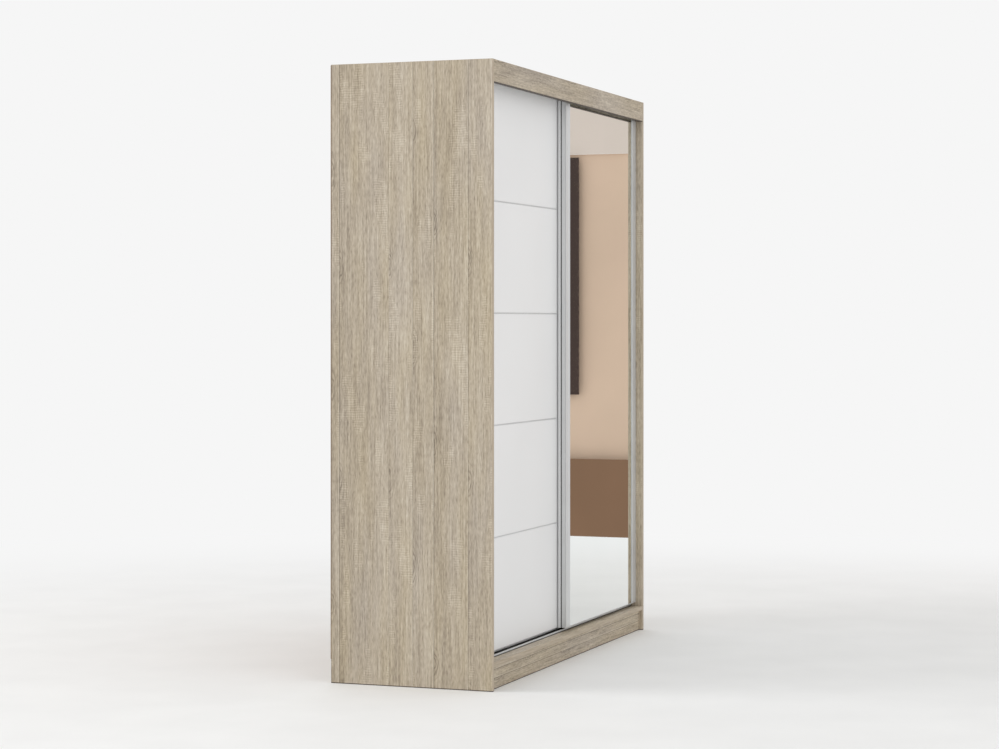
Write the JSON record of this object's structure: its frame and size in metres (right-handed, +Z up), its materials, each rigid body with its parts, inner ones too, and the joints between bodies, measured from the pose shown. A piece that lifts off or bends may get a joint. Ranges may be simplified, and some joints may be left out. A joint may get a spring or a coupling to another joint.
{
  "type": "sliding door wardrobe",
  "caption": "Tall free-standing wardrobe with a plain white sliding door and a mirrored sliding door in aluminium frames, on an oak-print carcass with shelves and a hanging rail.",
  "frame": {"origin": "on the floor, under the middle of the carcass's width and depth", "axes": "+X to the right as seen from the front, +Y from the front to the back, +Z up"},
  "size_m": [1.8, 0.61, 2.18],
  "materials": {
    "oak_board": "oak-print melamine on chipboard, matt with a light pore",
    "white_board": "smooth white melamine on chipboard, low sheen",
    "back_board": "thin fibreboard, lacquered pale on its inner face",
    "hardboard": "raw brown hardboard",
    "aluminium": "natural anodised, satin, with fine extrusion lines",
    "mirror": "silvered float glass, polished",
    "chrome": "bright chrome plate",
    "zinc_steel": "zinc-plated pressed steel",
    "nylon_black": "moulded nylon, matt",
    "nylon_white": "moulded acetal, matt",
    "pile": "short grey pile on a black backing"
  },
  "bodies": {
    "carcass": {"side_panel_left": "oak_board", "side_panel_right": "oak_board", "bottom_panel": "oak_board", "top_panel": "oak_board", "top_fascia": "oak_board", "plinth_front": "oak_board", "plinth_rear": "oak_board", "plinth_brace": "oak_board", "partition": "oak_board", "back_panel_left": "back_board", "back_panel_right": "back_board", "shelf_1": "oak_board", "shelf_2": "oak_board", "shelf_3": "oak_board", "shelf_4": "oak_board", "hat_shelf": "oak_board", "hanging_rail": "chrome", "rail_socket_left": "zinc_steel", "rail_socket_right": "zinc_steel", "bottom_track": "aluminium", "top_track": "aluminium"},
    "white_door": {"white_stile_left": "aluminium", "white_stile_right": "aluminium", "white_rail_bottom": "aluminium", "white_rail_top": "aluminium", "white_field_1": "white_board", "white_field_2": "white_board", "white_field_3": "white_board", "white_field_4": "white_board", "white_field_5": "white_board", "white_divider_1": "aluminium", "white_divider_2": "aluminium", "white_divider_3": "aluminium", "white_divider_4": "aluminium", "white_carrier_left": "zinc_steel", "white_carrier_right": "zinc_steel", "white_pin_left": "zinc_steel", "white_pin_right": "zinc_steel", "white_guide_left": "nylon_black", "white_guide_right": "nylon_black", "white_edge_seal": "pile"},
    "mirror_door": {"mirror_stile_left": "aluminium", "mirror_stile_right": "aluminium", "mirror_rail_bottom": "aluminium", "mirror_rail_top": "aluminium", "mirror_glass": "mirror", "mirror_backing": "hardboard", "mirror_carrier_left": "zinc_steel", "mirror_carrier_right": "zinc_steel", "mirror_pin_left": "zinc_steel", "mirror_pin_right": "zinc_steel", "mirror_guide_left": "nylon_black", "mirror_guide_right": "nylon_black", "mirror_edge_seal": "pile", "mirror_overlap_seal": "pile"},
    "white_wheel_a": {"white_wheel_left": "nylon_white"},
    "white_wheel_b": {"white_wheel_right": "nylon_white"},
    "mirror_wheel_a": {"mirror_wheel_left": "nylon_white"},
    "mirror_wheel_b": {"mirror_wheel_right": "nylon_white"}
  },
  "joints": [
    {"name": "white_door_slide", "type": "slide", "parent": "carcass", "child": "white_door", "axis": [1, 0, 0], "range_m": [0, 0.861]},
    {"name": "mirror_door_slide", "type": "slide", "parent": "carcass", "child": "mirror_door", "axis": [1, 0, 0], "range_m": [-0.861, 0]},
    {"name": "white_wheel_a_spin", "type": "hinge", "parent": "white_door", "child": "white_wheel_a", "pos_m": [-0.772, -0.21875, 0.118], "axis": [0, 1, 0], "continuous": true},
    {"name": "white_wheel_b_spin", "type": "hinge", "parent": "white_door", "child": "white_wheel_b", "pos_m": [-0.089, -0.21875, 0.118], "axis": [0, 1, 0], "continuous": true},
    {"name": "mirror_wheel_a_spin", "type": "hinge", "parent": "mirror_door", "child": "mirror_wheel_a", "pos_m": [0.089, -0.25275, 0.118], "axis": [0, 1, 0], "continuous": true},
    {"name": "mirror_wheel_b_spin", "type": "hinge", "parent": "mirror_door", "child": "mirror_wheel_b", "pos_m": [0.772, -0.25275, 0.118], "axis": [0, 1, 0], "continuous": true}
  ],
  "couplings": [
    {"joint": "white_wheel_a_spin", "follows": "white_door_slide", "rad_per_m": 83.333},
    {"joint": "white_wheel_b_spin", "follows": "white_door_slide", "rad_per_m": 83.333},
    {"joint": "mirror_wheel_a_spin", "follows": "mirror_door_slide", "rad_per_m": 83.333},
    {"joint": "mirror_wheel_b_spin", "follows": "mirror_door_slide", "rad_per_m": 83.333}
  ]
}
